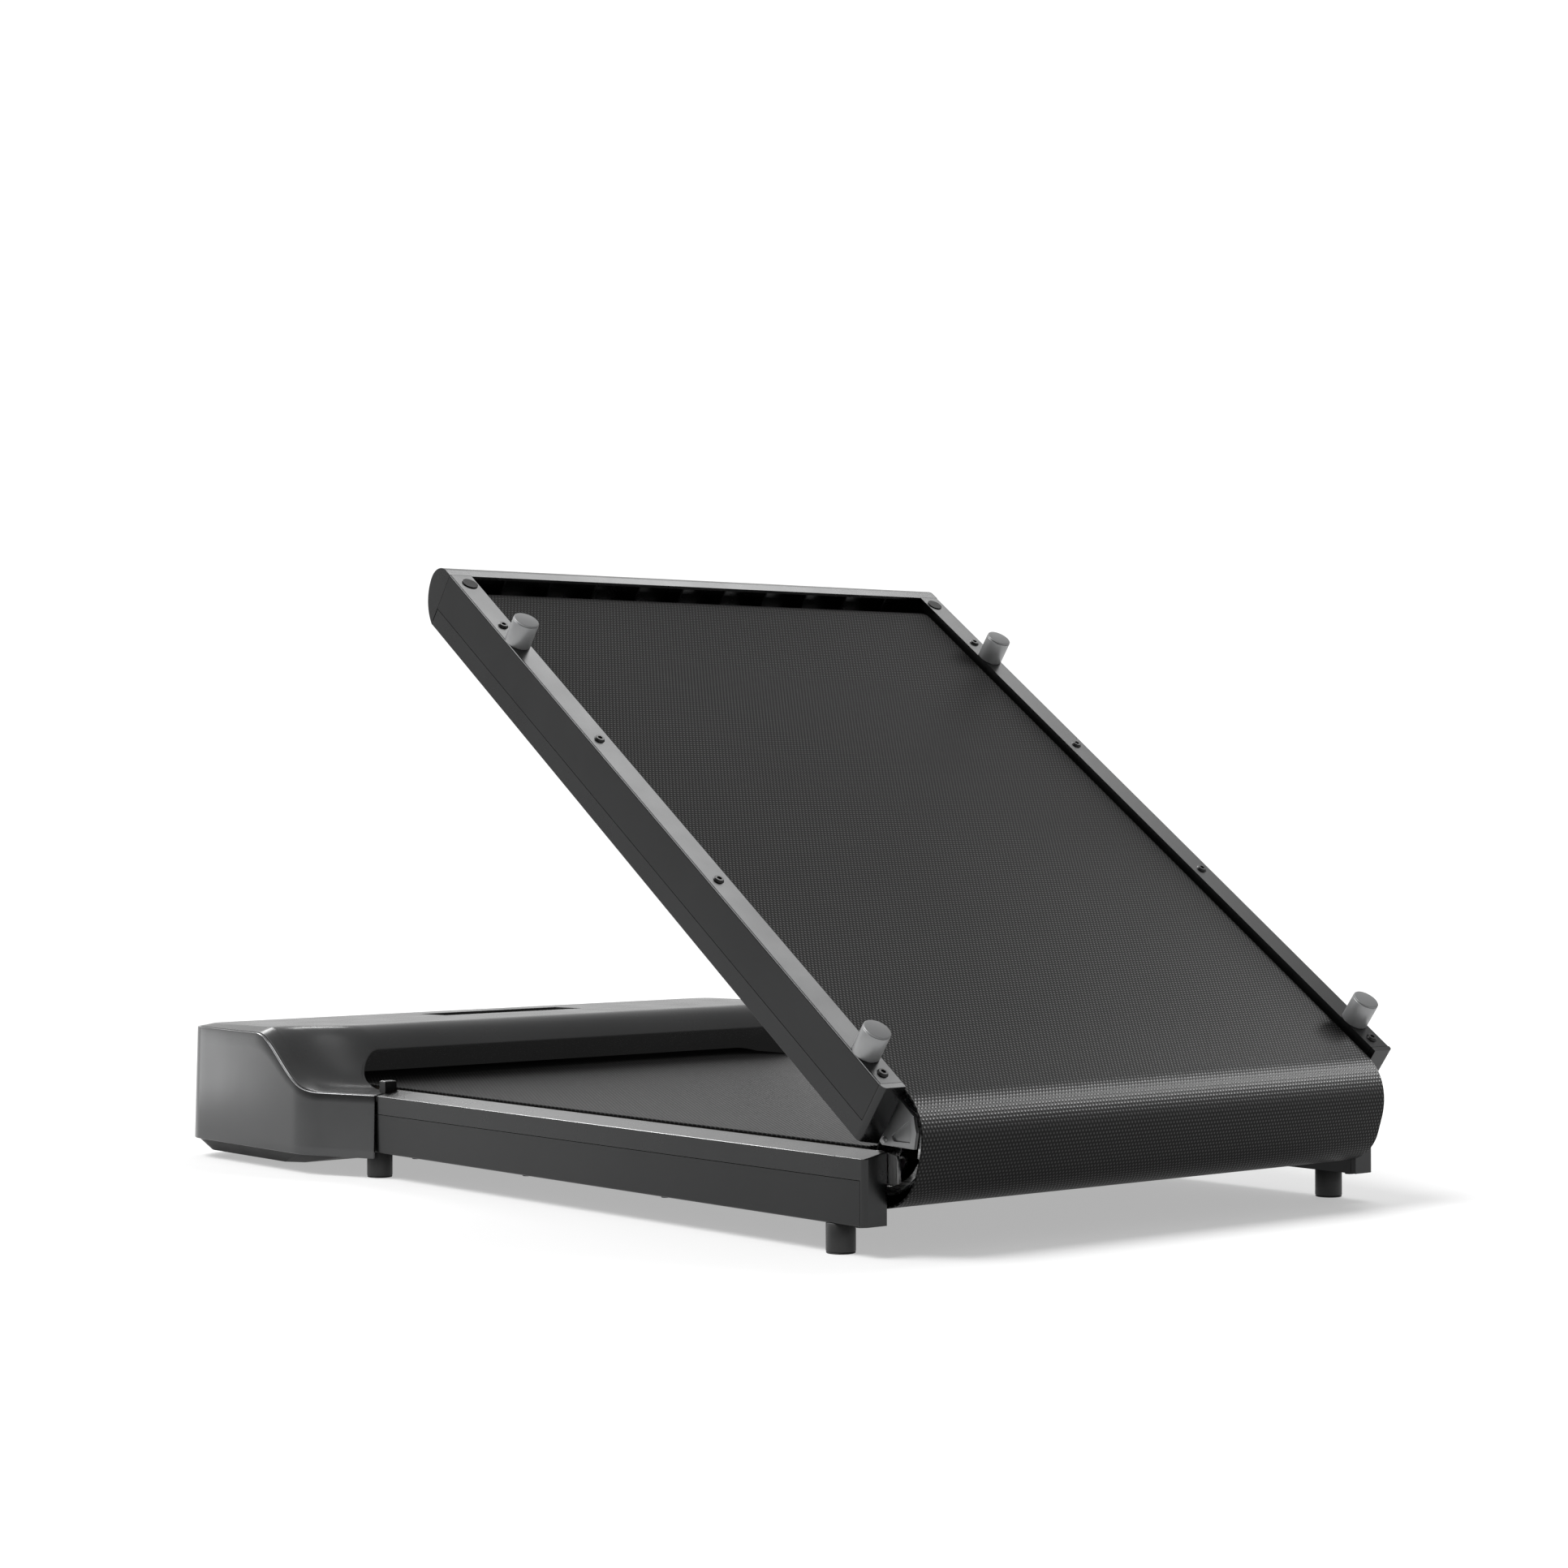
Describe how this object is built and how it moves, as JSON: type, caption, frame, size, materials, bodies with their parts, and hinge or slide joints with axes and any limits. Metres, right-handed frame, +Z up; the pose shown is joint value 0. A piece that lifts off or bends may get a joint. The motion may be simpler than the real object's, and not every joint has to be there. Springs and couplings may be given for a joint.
{
  "type": "treadmill",
  "caption": "Slim walking treadmill that folds in half: running deck with side rails, belt over two rollers, low motor console at the front, and a raised rear half on pivot hinges.",
  "frame": {"origin": "bottom centre of the whole part as it stands half open, on the floor", "axes": "+Y along the deck towards the console, +X to the walker's right, +Z up"},
  "size_m": [0.547, 0.8596, 0.4651],
  "materials": {
    "rail_metal": "satin dark grey anodised",
    "trim_plastic": "fine satin",
    "shell_silver": "satin metallic paint",
    "cover_plastic": "satin",
    "base_plastic": "fine texture",
    "display_lens": "gloss",
    "belt_rubber": "fine diamond weave",
    "board_wood": "sealed",
    "rubber_black": "matte",
    "foot_grey": "satin",
    "black_steel": "black oxide",
    "bright_steel": "ground",
    "zinc_plate": "bright zinc",
    "cast_grey": "cast",
    "pulley_metal": "machined",
    "motor_paint": "satin",
    "circuit_board": "matte",
    "switch_key": "gloss"
  },
  "bodies": {
    "front_deck": {"console_base_pan": "base_plastic", "console_side_shell": "shell_silver", "console_top_cover": "cover_plastic", "control_board": "circuit_board", "display_window": "display_lens", "drive_belt": "belt_rubber", "drive_motor": "motor_paint", "fold_bumpers": "rubber_black", "front_belt": "belt_rubber", "front_board_cushions": "rubber_black", "front_cross_members": "black_steel", "front_feet": "rubber_black", "front_hinge_leaves": "bright_steel", "front_hinge_plate_left": "zinc_plate", "front_hinge_plate_right": "zinc_plate", "front_rail_left": "rail_metal", "front_rail_right": "rail_metal", "front_rail_screws": "black_steel", "front_rail_trim_left": "trim_plastic", "front_rail_trim_right": "trim_plastic", "front_roller_axle": "bright_steel", "front_running_board": "board_wood", "motor_cradle": "black_steel", "power_inlet": "base_plastic", "roller_brackets": "black_steel", "switch_frame": "base_plastic", "wheel_brackets": "base_plastic"},
    "front_roller": {"front_roller": "bright_steel", "front_roller_bearings": "bright_steel", "roller_pulley": "pulley_metal"},
    "motor_rotor": {"motor_shaft": "bright_steel", "motor_pulley": "pulley_metal"},
    "rocker_key": {"power_rocker": "switch_key"},
    "wheel_left": {"transport_wheel_left": "rubber_black"},
    "wheel_right": {"transport_wheel_right": "rubber_black"},
    "hinge_link": {"hinge_links": "bright_steel", "hinge_pins": "bright_steel", "belt_wrap": "belt_rubber", "belt_inner_fold": "belt_rubber"},
    "rear_roller": {"rear_roller": "bright_steel", "rear_roller_bearings": "bright_steel"},
    "rear_deck": {"rear_belt": "belt_rubber", "rear_board_cushions": "rubber_black", "rear_cross_members": "black_steel", "rear_feet": "foot_grey", "rear_hinge_leaves": "bright_steel", "rear_hinge_plate_left": "cast_grey", "rear_hinge_plate_right": "cast_grey", "rear_rail_left": "rail_metal", "rear_rail_right": "rail_metal", "rear_rail_screws": "black_steel", "rear_rail_trim_left": "trim_plastic", "rear_rail_trim_right": "trim_plastic", "rear_roller_axle": "bright_steel", "rear_running_board": "board_wood", "tail_cap_left": "trim_plastic", "tail_cap_right": "trim_plastic", "tail_cover": "trim_plastic", "tail_plugs": "base_plastic", "tension_blocks": "black_steel"}
  },
  "joints": [
    {"name": "fold_lower", "type": "hinge", "parent": "front_deck", "child": "hinge_link", "pos_m": [0, -0.38789, 0.0636], "axis": [1, 0, 0], "range_deg": [-17.66, 72.33], "deforming": ["belt_wrap", "belt_inner_fold"]},
    {"name": "fold_upper", "type": "hinge", "parent": "hinge_link", "child": "rear_deck", "pos_m": [0, -0.39131, 0.07437], "axis": [1, 0, 0], "range_deg": [-17.66, 72.33]},
    {"name": "front_roller_spin", "type": "hinge", "parent": "front_deck", "child": "front_roller", "pos_m": [0, 0.33231, 0.0494], "axis": [1, 0, 0], "continuous": true},
    {"name": "motor_spin", "type": "hinge", "parent": "front_deck", "child": "motor_rotor", "pos_m": [0.2, 0.38931, 0.052], "axis": [1, 0, 0], "continuous": true},
    {"name": "rear_roller_spin", "type": "hinge", "parent": "rear_deck", "child": "rear_roller", "pos_m": [0, 0.07254, 0.42345], "axis": [1, 0, 0], "continuous": true},
    {"name": "wheel_left_spin", "type": "hinge", "parent": "front_deck", "child": "wheel_left", "pos_m": [-0.2, 0.39731, 0.015], "axis": [1, 0, 0], "continuous": true},
    {"name": "wheel_right_spin", "type": "hinge", "parent": "front_deck", "child": "wheel_right", "pos_m": [0.2, 0.39731, 0.015], "axis": [1, 0, 0], "continuous": true},
    {"name": "power_key", "type": "hinge", "parent": "front_deck", "child": "rocker_key", "pos_m": [-0.195, 0.42631, 0.0475], "axis": [1, 0, 0], "range_deg": [0, 14]}
  ],
  "couplings": [
    {"joint": "fold_upper", "follows": "fold_lower", "ratio": 1},
    {"joint": "motor_spin", "follows": "front_roller_spin", "ratio": 2.1667},
    {"joint": "rear_roller_spin", "follows": "front_roller_spin", "ratio": 0.88338}
  ]
}
